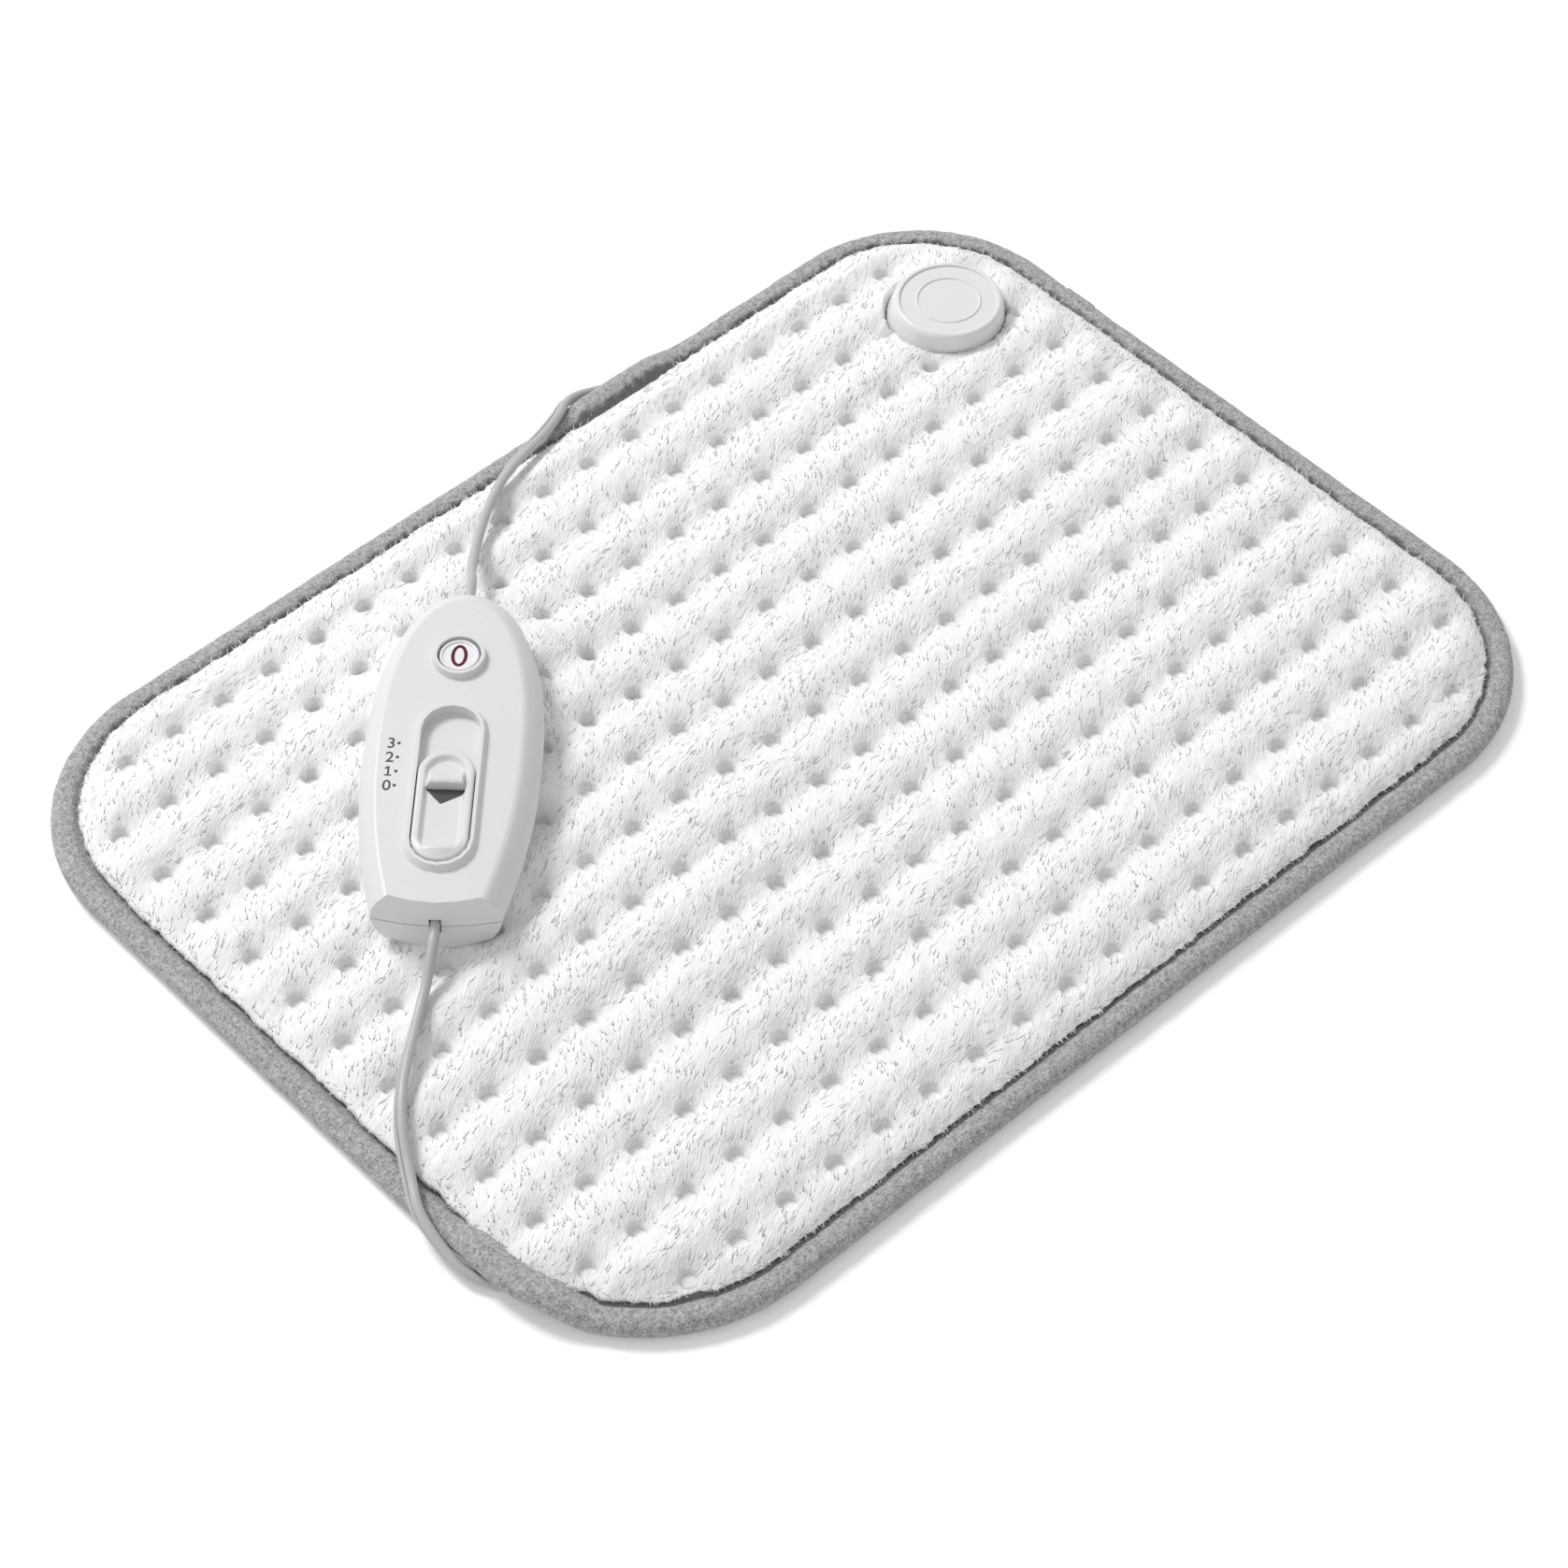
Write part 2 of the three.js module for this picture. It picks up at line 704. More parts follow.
function sheet(lower, upper) {
  const shift = lower.points.length;
  const points = [...lower.points, ...upper.points];
  const faces = lower.faces.map(([a, b, c]) => [a, c, b]);
  upper.faces.forEach(([a, b, c]) => faces.push([a + shift, b + shift, c + shift]));
  for (let k = 0; k < stops.length; k++) {
    const next = (k + 1) % stops.length;
    faces.push([k, next, next + shift], [k, next + shift, k + shift]);
  }
  const hole = cylinder(socketX, socketY, socket.tubeRadius + clearance, -overrun, socket.capBottom, socket.sides);
  return geometryOf(solidOf(bodyFrom(points, faces)).subtract(solidOf(hole)));
}

const coverTop = layers.coverBottom + layers.coverThickness;
const carrierBottom = coverTop + clearance;
const carrierTop = carrierBottom + layers.carrierThickness;
const plushBottom = carrierTop + layers.wireRoom + clearance;
const slotDepthFromEdge = binding.width - binding.slotDepth + clearance;

function addBottomCover() {
  const edge = binding.slotFloor + clearance;
  const over = (base) => (x, y) => base + reliefAt(x, y);
  const lower = sheetFace([
    edgeRing(slotDepthFromEdge, edge, 1),
    edgeRing(layers.seamInset, edge, 1),
    edgeRing(layers.flatInset, layers.coverBottom, 0),
  ], moundPatch, over(layers.coverBottom));
  const upper = sheetFace([
    edgeRing(slotDepthFromEdge, edge + layers.coverEdge, 1),
    edgeRing(layers.seamInset, edge + layers.coverEdge, 1),
    edgeRing(layers.flatInset, coverTop, 0),
  ], moundPatch, over(coverTop));
  add(heatingPad, 'bottom_cover', sheet(lower, upper), 'nonwoven');
}

function addWireCarrier() {
  const lower = sheetFace([edgeRing(layers.carrierInset, carrierBottom, 0)], moundPatch,
    (x, y) => carrierBottom + reliefAt(x, y));
  const upper = sheetFace([edgeRing(layers.carrierInset, carrierTop, 0)], moundPatch,
    (x, y) => carrierTop + reliefAt(x, y));
  add(heatingPad, 'wire_carrier', sheet(lower, upper), 'nonwoven');
}

// Half the controller's width at a distance along it, for the outline drawn in by an inset.
function halfWidthAt(u, inset = 0, noseInset = inset) {
  const wide = controller.halfWidth - inset;
  if (u > controller.widest) {
    const share = (u - controller.widest) / (controller.nose - noseInset - controller.widest);
    return share >= 1 ? 0 : wide * Math.sqrt(1 - share ** controller.noseRoundness);
  }
  const share = (controller.widest - u) / (controller.end + controller.widest);
  const narrowing = controller.halfWidth - controller.endHalfWidth;
  return wide - narrowing * share ** controller.tailRoundness;
}

// The plush gives way under the controller's base and under the socket's cap.
function pressed(x, y, height) {
  let lowest = height;
  const { u, v } = toController(x, y);
  const reach = tufts.pitchX / 2;
  const alongside = u > -controller.end - reach && u < controller.nose + reach;
  if (alongside && Math.abs(v) < Math.max(halfWidthAt(u), reach) + reach) {
    lowest = Math.min(lowest, controller.z + u * Math.tan(controller.tilt) - clearance);
  }
  if (Math.hypot(x - socketX, y - socketY) < socket.capRadius + tufts.pitchX) {
    lowest = Math.min(lowest, socket.capBottom - clearance);
  }
  return lowest;
}

function addTopCover() {
  const isOutermost = (index, count) => index === 0 || index === count - 2;
  const tuftPatch = gridPatch(
    tuftColumns,
    tuftRows,
    (i, j) => new THREE.Vector2(
      firstTuftX + i * tufts.pitchX / 2,
      firstTuftY - (2 * tuftRows - 2 - j) * tufts.pitchY / 2,
    ),
    (i, j) => !(isOutermost(i, tuftColumns) && isOutermost(j, tuftRows)),
    (i, j) => {
      const at = (a, b) => [2 * i + a, 2 * j + b];
      return [
        [at(0, 0), at(1, 0), at(0, 1)], [at(1, 0), at(2, 0), at(2, 1)], [at(1, 0), at(2, 1), at(0, 1)],
        [at(0, 1), at(2, 1), at(1, 2)], [at(2, 1), at(2, 2), at(1, 2)], [at(0, 1), at(1, 2), at(0, 2)],
      ];
    },
  );
  const heights = [[tufts.dotHeight, tufts.puffHeight], [tufts.rowHeight, tufts.puffHeight]];
  const border = new Set(tuftPatch.outline);
  const topAt = (x, y, index) => {
    const i = Math.round((x - firstTuftX) / (tufts.pitchX / 2));
    const j = Math.round((firstTuftY - y) / (tufts.pitchY / 2));
    const relief = reliefAt(x, y);
    const puff = border.has(index) ? tufts.dotHeight : heights[Math.abs(i) % 2][Math.abs(j) % 2];
    const natural = puff + relief;
    const raised = relief > 0 ? Math.max(natural, plushBottom + relief + tufts.leastThickness) : natural;
    return pressed(x, y, raised);
  };
  const edge = binding.slotFloor + 2 * clearance + layers.coverEdge;
  const lower = sheetFace([
    edgeRing(slotDepthFromEdge, edge, 1),
    edgeRing(layers.seamInset, edge, 1),
    edgeRing(layers.flatInset, plushBottom, 0),
  ], moundPatch, (x, y) => plushBottom + reliefAt(x, y));
  const plushEdge = edgeRing(layers.plushEdgeInset, layers.plushEdgeHeight, 0);
  plushEdge.forEach((p) => { p.z = Math.min(p.z, pressed(p.x, p.y, p.z)); });
  const upper = sheetFace([
    edgeRing(slotDepthFromEdge, edge + layers.plushEdgeThickness, 1),
    edgeRing(layers.seamInset, edge + layers.plushEdgeThickness, 1),
    plushEdge,
  ], tuftPatch, topAt);
  add(heatingPad, 'top_cover', sheet(lower, upper), 'plush');
}

function addEdgeBinding() {
  const halfBead = binding.height / 2;
  const section = binding.beadShares.map((share, k) => [binding.beadDepthShares[k] * halfBead, share * binding.height]);
  const slotTop = binding.slotFloor + binding.slotHeight;
  const slotEnd = binding.width - binding.slotDepth;
  section.push(
    [binding.width - clearance, binding.height - clearance],
    [binding.width, binding.lipHeight],
    [binding.width, slotTop],
    [slotEnd, slotTop],
    [slotEnd, binding.slotFloor],
    [binding.width, binding.slotFloor],
    [binding.width, 0],
  );
  const points = [];
  stops.forEach(({ place, normal, lift }) => section.forEach(([inset, height]) => {
    points.push(new THREE.Vector3(place.x - normal.x * inset, place.y - normal.y * inset, height + lift));
  }));
  const faces = [];
  const count = section.length;
  for (let k = 0; k < stops.length; k++) {
    const next = (k + 1) % stops.length;
    for (let i = 0; i < count; i++) {
      const j = (i + 1) % count;
      faces.push([k * count + i, next * count + i, next * count + j]);
      faces.push([k * count + i, next * count + j, k * count + j]);
    }
  }
  add(heatingPad, 'edge_binding', bodyFrom(points, faces), 'tape');
}

function addHeatingWire() {
  const radius = layers.wireDiameter / 2;
  const westEnd = wire.westInset - pad.length / 2;
  const eastEnd = pad.length / 2 - wire.eastInset;
  const socketEastEnd = socketX - wire.beforeSocket;
  const returnX = pad.length / 2 - wire.returnInset;
  const route = [];
  const place = (x, y) => {
    const relief = reliefAt(x, y);
    const lift = relief > 0 ? layers.wireLift : 0;
    route.push(new THREE.Vector3(x, y, carrierTop + clearance + radius + relief + lift));
  };
  const run = (fromX, toX, y) => {
    const steps = Math.ceil(Math.abs(toX - fromX) / wire.moundStep);
    for (let k = 0; k <= steps; k++) {
      const x = lerp(fromX, toX, k / steps);
      const step = (toX - fromX) / steps;
      const flat = [x - step, x, x + step].every((at) => reliefAt(at, y) === 0);
      if (k === 0 || k === steps || !flat) place(x, y);
    }
  };
  const turn = (x, y, side) => {
    for (let k = 1; k < wire.turnSteps; k++) {
      const angle = Math.PI * k / wire.turnSteps;
      place(x + side * Math.sin(angle) * tufts.pitchY / 2, y - (1 - Math.cos(angle)) * tufts.pitchY / 2);
    }
  };
  const exitAngle = degToRad(156);
  const entryAngle = degToRad(-34);
  const mouth = socket.tubeRadius + clearance;
  place(socketX + mouth * Math.cos(exitAngle), socketY + mouth * Math.sin(exitAngle));
  const firstRow = firstTuftY - tufts.pitchY / 2;
  place(socketEastEnd + tufts.pitchX / 2, lerp(socketY, firstRow, 0.55));
  for (let row = 0; row + 1 < tuftRows; row++) {
    const y = firstRow - row * tufts.pitchY;
    const east = row < 3 ? socketEastEnd : eastEnd;
    const west = row % 2 === 0;
    if (row > 0) turn(west ? Math.min(east, eastEnd) : westEnd, y + tufts.pitchY, west ? 1 : -1);
    run(west ? east : westEnd, west ? westEnd : east, y);
  }
  const lastRow = firstRow - (tuftRows - 2) * tufts.pitchY;
  const bend = returnX - eastEnd;
  for (let k = 1; k <= wire.turnSteps; k++) {
    const angle = Math.PI / 2 * k / wire.turnSteps;
    place(eastEnd + bend * Math.sin(angle), lastRow + 2 * bend * (1 - Math.cos(angle)));
  }
  place(returnX, socketY - socket.capRadius);
  const goal = new THREE.Vector2(socketX + mouth * Math.cos(entryAngle), socketY + mouth * Math.sin(entryAngle));
  place(goal.x + mouth / 2, goal.y - mouth / 3);
  place(goal.x, goal.y);
  const section = circle(0, 0, radius, wire.sides);
  add(heatingPad, 'heating_wire', sweep(section, route), 'wire');
}

// The corner coupling.
function addSocket() {
  const { sides } = socket;
  const [x, y] = [socketX, socketY];
  const capTop = socket.capBottom + socket.capHeight;
  const rim = socket.capGroove;
  const lean = (height) => y - socket.capLean * (height - socket.capBottom) / socket.capHeight;
  const outer = [
    { radius: socket.capRadius - rim, z: socket.capBottom },
    { radius: socket.capRadius, z: socket.capBottom + socket.capWall },
    { radius: lerp(socket.capRadius, socket.capTopRadius, 0.5), z: capTop - socket.capWall },
    { radius: socket.capTopRadius, z: capTop - rim },
    { radius: socket.capTopRadius - rim, z: capTop },
  ].map(({ radius, z }) => ({ points: circle(x, lean(z), radius, sides), z }));
  const inner = [
    { points: circle(x, y, socket.capRadius - socket.capWall, sides), z: socket.capBottom - overrun },
    { points: circle(x, lean(capTop), socket.capTopRadius - socket.capWall, sides), z: capTop - socket.capWall },
  ];
  const ring = (radius, z0, z1) => solidOf(prism(circle(x, lean(capTop), radius, sides), z0, z1));
  const mark = ring(socket.capRingRadius, capTop - rim, capTop + overrun)
    .subtract(ring(socket.capRingRadius - socket.capRingWidth, capTop - 2 * rim, capTop + 2 * overrun));
  const seat = solidOf(cylinder(x, y, socket.tubeRadius, socket.tubeTop + clearance, capTop - socket.capWall / 2, sides))
    .subtract(solidOf(cylinder(x, y, socket.tubeRadius - socket.seatWall, socket.tubeTop, capTop - socket.capWall, sides)));
  const cap = solidOf(loft(outer)).subtract(solidOf(loft(inner))).add(seat).subtract(mark);
  add(heatingPad, 'socket_cap', geometryOf(cap), 'gloss');

  const flangeTop = socket.flangeBottom + socket.flangeThickness;
  const cupRadius = socket.tubeRadius - socket.tubeWall;
  const ceilingTop = socket.cupTop + socket.ceiling;
  let body = solidOf(cylinder(x, y, socket.flangeRadius, socket.flangeBottom, flangeTop, sides))
    .add(solidOf(cylinder(x, y, socket.tubeRadius, socket.flangeBottom, socket.tubeTop, sides)))
    .subtract(solidOf(cylinder(x, y, cupRadius, socket.flangeBottom - overrun, socket.cupTop, sides)))
    .subtract(solidOf(cylinder(x, y, cupRadius, ceilingTop, socket.tubeTop + overrun, sides)));
  const turnToBoss = (geometry) => geometry.rotateZ(connector.angle).translate(x, y, 0);
  const bossHalf = connector.bossWidth / 2;
  const passage = turnToBoss(box(0, socket.flangeRadius + overrun, -bossHalf - clearance, bossHalf + clearance,
    socket.flangeBottom - overrun, connector.bottom + connector.bossHeight + clearance));
  body = body.subtract(solidOf(passage));
  const half = connector.pinSpacing / 2;
  for (const side of [-1, 1]) {
    const hole = cylinder(0, side * half, connector.pinRadius + clearance, socket.cupTop - overrun, ceilingTop + overrun, 8);
    body = body.subtract(solidOf(turnToBoss(hole)));
  }
  add(heatingPad, 'socket_body', geometryOf(body), 'abs');

  const puckTop = connector.bottom + connector.height;
  let puck = solidOf(cylinder(0, 0, cupRadius - clearance, connector.bottom, puckTop, sides))
    .add(solidOf(box(0, connector.bossLength, -bossHalf, bossHalf, connector.bottom, connector.bottom + connector.bossHeight)));
  const pinBottom = puckTop - connector.pinDepth;
  for (const side of [-1, 1]) {
    const hole = cylinder(0, side * half, connector.pinRadius + clearance, pinBottom - clearance, puckTop + overrun, 8);
    puck = puck.subtract(solidOf(hole));
    const pin = solidOf(cylinder(0, side * half, connector.pinRadius, pinBottom, ceilingTop + clearance + connector.pinHead, 8))
      .add(solidOf(cylinder(0, side * half, connector.pinHeadRadius, ceilingTop + clearance,
        ceilingTop + clearance + connector.pinHead, 8)));
    add(heatingPad, side < 0 ? 'contact_pin_left' : 'contact_pin_right', turnToBoss(geometryOf(pin)), 'brass');
  }
  add(heatingPad, 'cord_connector', turnToBoss(geometryOf(puck)), 'pvc');
}

// The controller's frame: u along it towards the nose, v to its left, w up from its base.
const controlUnit = new THREE.Group();
controlUnit.position.set(controllerX, controllerY, controller.z);
controlUnit.rotation.set(0, -controller.tilt, controller.turn, 'ZYX');
heatingPad.add(controlUnit);

function housingOutline(inset, noseInset, endX) {
  const side = [];
  for (let k = 0; k < controller.sideSteps; k++) {
    const u = lerp(endX, controller.widest, k / controller.sideSteps);
    side.push([u, halfWidthAt(u, inset, noseInset)]);
  }
  const reach = controller.nose - noseInset - controller.widest;
  for (let k = 0; k <= controller.noseSteps; k++) {
    const angle = Math.PI / 2 * k / controller.noseSteps;
    const u = controller.widest + reach * Math.sin(angle) ** (2 / controller.noseRoundness);
    side.push([u, (controller.halfWidth - inset) * Math.cos(angle)]);
  }
  side.pop();
  const right = side.map(([u, v]) => new THREE.Vector2(u, -v));
  const left = side.map(([u, v]) => new THREE.Vector2(u, v)).reverse();
  const tip = new THREE.Vector2(controller.nose - noseInset, 0);
  const corner = side[0][1];
  const end = [];
  for (let k = 1; k < controller.endSteps; k++) {
    const share = 1 - 2 * k / controller.endSteps;
    end.push(new THREE.Vector2(endX - controller.endBow * (1 - share ** 2), corner * share));
  }
  return [...right, tip, ...left, ...end];
}

// The flat end leans, so each level ends at its own place.
function endXAt(w, wall) {
  const lean = controller.endSlant * (w - controller.parting) / controller.height;
  return -controller.end + controller.endBow + lean + wall;
}

function housingRing(w, insetShare, wall) {
  const inset = insetShare * controller.shoulder + wall;
  const noseInset = insetShare * controller.noseShoulder + wall;
  return { points: housingOutline(inset, noseInset, endXAt(w, wall)), z: w };
}

function shellRings(heightShares, insetShares, from, to, wall) {
  return heightShares.map((share, k) => housingRing(lerp(from, to, share), insetShares[k], wall));
}

const upperEdge = controller.parting + clearance / 2;
const lowerEdge = controller.parting - clearance / 2;
const rearBosses = [[screw.rearX, screw.rearY], [screw.rearX, -screw.rearY]];
const frontBosses = [[screw.frontX, screw.frontY], [screw.frontX, -screw.frontY]];
const bosses = [...rearBosses, ...frontBosses];
const recessFloorTop = controller.height - slider.recessFloor;
const recessFloorBottom = recessFloorTop - slider.floorThickness;
const knobCentre = slider.centre - slider.travel / 2;
const railInner = slider.carriageWidth / 2 + clearance;
const railOuter = railInner + slider.railThickness;
const flexHalf = flex.width / 2;
const flexGap = flex.thickness / 2 + flex.notchGap;

function addUpperHousing() {
  const { upperHeightShares: heights, upperInsetShares: insets, height, wall } = controller;
  const outer = shellRings(heights, insets, upperEdge, height, 0);
  const inner = shellRings(heights, insets, upperEdge, height - wall, wall);
  inner.unshift({ points: inner[0].points, z: upperEdge - overrun });
  const tubLength = slider.recessLength + 2 * slider.tubWall;
  const tubWidth = slider.recessWidth + 2 * slider.tubWall;
  const rimTop = height + collar.height;
  const rim = (margin) => stadium(slider.centre, slider.recessLength + 2 * margin, slider.recessWidth + 2 * margin);
  const sliderCollar = loft([
    { points: rim(collar.baseMargin), z: height - wall / 2 },
    { points: rim(collar.baseMargin), z: height },
    { points: rim(collar.rimMargin), z: rimTop },
  ]);
  const windowCollar = loft([
    { points: circle(lens.centre, 0, lens.radius + clearance + collar.baseMargin - collar.rimMargin / 2, 28), z: height - wall / 2 },
    { points: circle(lens.centre, 0, lens.radius + clearance + collar.rimMargin, 28), z: rimTop },
  ]);
  let shell = solidOf(loft(outer)).subtract(solidOf(loft(inner)))
    .add(solidOf(prism(stadium(slider.centre, tubLength, tubWidth), recessFloorBottom, height - wall / 2)))
    .add(solidOf(sliderCollar))
    .add(solidOf(windowCollar))
    .subtract(solidOf(prism(rim(0), recessFloorTop, rimTop + overrun)));
  const railEnd = slider.recessLength / 2 - slider.railDepth;
  for (const side of [-1, 1]) {
    const near = side * railInner;
    const far = side * railOuter;
    shell = shell.add(solidOf(box(slider.centre - railEnd, slider.centre + railEnd,
      Math.min(near, far), Math.max(near, far), recessFloorBottom - slider.railDepth, recessFloorBottom + clearance)));
  }
  for (const [u, v] of bosses) {
    shell = shell.add(solidOf(cylinder(u, v, screw.bossRadius - clearance, upperEdge, height - wall / 2, 16)));
  }
  for (const [u, v] of bosses) {
    shell = shell.subtract(solidOf(cylinder(u, v, screw.shankRadius + clearance, upperEdge - overrun,
      upperEdge + screw.boreDepth, 10)));
  }
  const slotHalf = (slider.travel + slider.stemLength) / 2 + clearance;
  const stemHalf = slider.stemWidth / 2 + clearance;
  shell = shell
    .subtract(solidOf(box(slider.centre - slotHalf, slider.centre + slotHalf, -stemHalf, stemHalf,
      recessFloorBottom - overrun, recessFloorTop + overrun)))
    .subtract(solidOf(cylinder(lens.centre, 0, lens.radius + clearance, height - 2 * wall, rimTop + overrun, 28)))
    .subtract(solidOf(box(-controller.end - overrun, controller.nose + overrun, -flexGap, flexGap,
      upperEdge - overrun, controller.parting + flexHalf + flex.notchGap)));
  add(controlUnit, 'upper_housing', geometryOf(shell), 'abs');
}

function addLowerHousing() {
  const { lowerHeightShares: heights, lowerInsetShares: insets, wall } = controller;
  const outer = shellRings(heights, insets, lowerEdge, 0, 0);
  const inner = shellRings(heights, insets, lowerEdge, wall, wall);
  inner.unshift({ points: inner[0].points, z: lowerEdge + overrun });
  let shell = solidOf(loft(outer)).subtract(solidOf(loft(inner)));
  for (const [u, v] of bosses) {
    shell = shell.add(solidOf(cylinder(u, v, screw.bossRadius, wall / 2, lowerEdge, 16)));
  }
  const headRoom = screw.headDepth + screw.headHeight + clearance;
  for (const [u, v] of bosses) {
    shell = shell
      .subtract(solidOf(cylinder(u, v, screw.headRadius + clearance, -overrun, headRoom, 12)))
      .subtract(solidOf(cylinder(u, v, screw.shankRadius + clearance, 0, lowerEdge + overrun, 10)));
  }
  const postOut = board.halfWidth - board.postRadius;
  for (const u of [board.start + 2 * board.postRadius, board.end - board.noseLength - 2 * board.postRadius]) {
    for (const v of [-postOut, postOut]) {
      shell = shell.add(solidOf(cylinder(u, v, board.postRadius, wall / 2, board.underside - clearance, 10)));
    }
  }
  shell = shell.subtract(solidOf(box(-controller.end - overrun, controller.nose + overrun, -flexGap, flexGap,
    controller.parting - flexHalf - flex.notchGap, lowerEdge + overrun)));
  const ribTop = controller.parting - flexHalf - clearance;
  for (const u of [clamp.rearX, clamp.frontX]) {
    shell = shell.add(solidOf(box(u - clamp.length / 2, u + clamp.length / 2,
      -clamp.ribHalfWidth, clamp.ribHalfWidth, wall / 2, ribTop)));
  }
  add(controlUnit, 'lower_housing', geometryOf(shell), 'abs');
}

// A saddle over the flex at each end, standing on the lower shell's floor.
function addCordClamp(name, u) {
  const bottom = controller.wall + clearance;
  const cordTop = controller.parting + flexHalf + clearance;
  const slotHalf = flex.thickness / 2 + clearance;
  const half = clamp.halfWidth;
  const top = lerp(cordTop, controller.height - controller.wall, clamp.coverShare);
  const outline = [
    [-half, bottom], [-slotHalf, bottom], [-slotHalf, cordTop], [slotHalf, cordTop],
    [slotHalf, bottom], [half, bottom], [half, cordTop], [half / 2, top],
    [-half / 2, top], [-half, cordTop],
  ].map(([v, w]) => new THREE.Vector2(v, w));
  const geometry = prism(outline, -clamp.length / 2, clamp.length / 2);
  geometry.applyMatrix4(new THREE.Matrix4().makeBasis(
    new THREE.Vector3(0, 1, 0), new THREE.Vector3(0, 0, 1), new THREE.Vector3(1, 0, 0),
  ));
  add(controlUnit, name, geometry.translate(u, 0, 0), 'abs');
}

function addScrew(name, [u, v]) {
  const { headDepth, headHeight, headRadius, shankRadius, driveRadius, driveDepth } = screw;
  const profile = [
    [0, headDepth + driveDepth],
    [driveRadius, headDepth + driveDepth],
    [driveRadius, headDepth],
    [headRadius * 0.8, headDepth],
    [headRadius, headDepth + headHeight / 2],
    [headRadius, headDepth + headHeight],
    [shankRadius, headDepth + headHeight],
    [shankRadius, screw.length - shankRadius],
    [0, screw.length],
  ];
  add(controlUnit, name, turned(profile, 12).translate(u, v, 0), 'steel');
}

function addSliderKnob() {
  const bottom = recessFloorTop + clearance;
  const rimTop = controller.height + slider.knobRim;
  const { knobLength: length, knobWidth: width, scoopMargin: margin } = slider;
  const round = clearance;
  const body = loft([
    { points: stadium(knobCentre, length, width), z: bottom },
    { points: stadium(knobCentre, length, width), z: rimTop - round },
    { points: stadium(knobCentre, length - 2 * round, width - 2 * round), z: rimTop },
  ]);
  const wide = width - 2 * margin;
  const deep = 2 * slider.scoopSlope;
  const scoop = loft([
    { points: stadium(knobCentre, length - 2 * margin - deep, wide - deep), z: rimTop - slider.scoopDepth },
    { points: stadium(knobCentre, length - 2 * margin, wide), z: rimTop },
    { points: stadium(knobCentre, length - 2 * margin, wide), z: rimTop + overrun },
  ]);
  const ridgeAt = knobCentre + length / 2 - slider.ridgeFromTop;
  const halfRidge = slider.ridgeLength / 2;
  const floor = rimTop - slider.scoopDepth - round;
  const crest = rimTop + slider.ridgeHeight;
  const ridge = new THREE.Shape([
    new THREE.Vector2(ridgeAt - halfRidge, floor),
    new THREE.Vector2(ridgeAt + 2 * halfRidge, floor),
    new THREE.Vector2(ridgeAt + halfRidge, rimTop + slider.ridgeHeight / 2),
    new THREE.Vector2(ridgeAt + slider.ridgeCrest / 2, crest),
    new THREE.Vector2(ridgeAt - slider.ridgeCrest / 2, crest),
  ]);
  const bar = new THREE.ExtrudeGeometry(ridge, { depth: slider.ridgeWidth, bevelEnabled: false });
  bar.rotateX(Math.PI / 2).translate(0, slider.ridgeWidth / 2, 0);
  const barbTop = recessFloorBottom - clearance - slider.carriageThickness - clearance;
  const stemHalf = slider.stemLength / 2;
  const stem = box(knobCentre - stemHalf, knobCentre + stemHalf, -slider.stemWidth / 2, slider.stemWidth / 2,
    barbTop - slider.barbHeight, bottom + round);
  const barb = box(knobCentre - stemHalf, knobCentre + stemHalf, -slider.barbWidth / 2, slider.barbWidth / 2,
    barbTop - slider.barbHeight, barbTop);
  const knob = solidOf(body).subtract(solidOf(scoop))
    .add(solidOf(bar)).add(solidOf(stem)).add(solidOf(barb));
  add(controlUnit, 'slider_knob', geometryOf(knob), 'abs');
}

const carriageTop = recessFloorBottom - clearance;
const carriageBottom = carriageTop - slider.carriageThickness;
const boardTop = board.underside + board.thickness;
const lensFlangeTop = controller.height - controller.wall - clearance;
const stripTop = boardTop + clearance + strip.thickness;

function addSliderCarriage() {
  const halfLength = slider.carriageLength / 2;
  const halfWidth = slider.carriageWidth / 2;
  const windowHalf = slider.stemLength / 2 + clearance;
  const windowSide = slider.stemWidth / 2 + clearance;
  let plate = solidOf(box(knobCentre - halfLength, knobCentre + halfLength, -halfWidth, halfWidth,
    carriageBottom, carriageTop))
    .subtract(solidOf(box(knobCentre - windowHalf, knobCentre + windowHalf, -windowSide, windowSide,
      carriageBottom - overrun, carriageTop + overrun)));
  for (let k = 0; k < slider.positions; k++) {
    const u = detentTip() - k * slider.travel / (slider.positions - 1);
    const notch = new THREE.Shape([
      new THREE.Vector2(u - slider.notchWidth / 2, carriageBottom - weldDistance),
      new THREE.Vector2(u + slider.notchWidth / 2, carriageBottom - weldDistance),
      new THREE.Vector2(u, carriageBottom + slider.notchDepth),
    ]);
    const cut = new THREE.ExtrudeGeometry(notch, { depth: slider.notchTrack + overrun, bevelEnabled: false });
    cut.rotateX(Math.PI / 2).translate(0, halfWidth + overrun, 0);
    plate = plate.subtract(solidOf(cut));
  }
  add(controlUnit, 'slider_carriage', geometryOf(plate), 'abs');
}

function detentTip() {
  return knobCentre + slider.carriageLength / 2 - slider.notchWidth;
}

// A body of even thickness along a bent strip, drawn in the u-w plane and given a width.
function bentStrip(outline, centreV, width) {
  const shape = new THREE.Shape(outline.map(([u, w]) => new THREE.Vector2(u, w)));
  const geometry = new THREE.ExtrudeGeometry(shape, { depth: width, bevelEnabled: false });
  return geometry.rotateX(Math.PI / 2).translate(0, centreV + width / 2, 0);
}

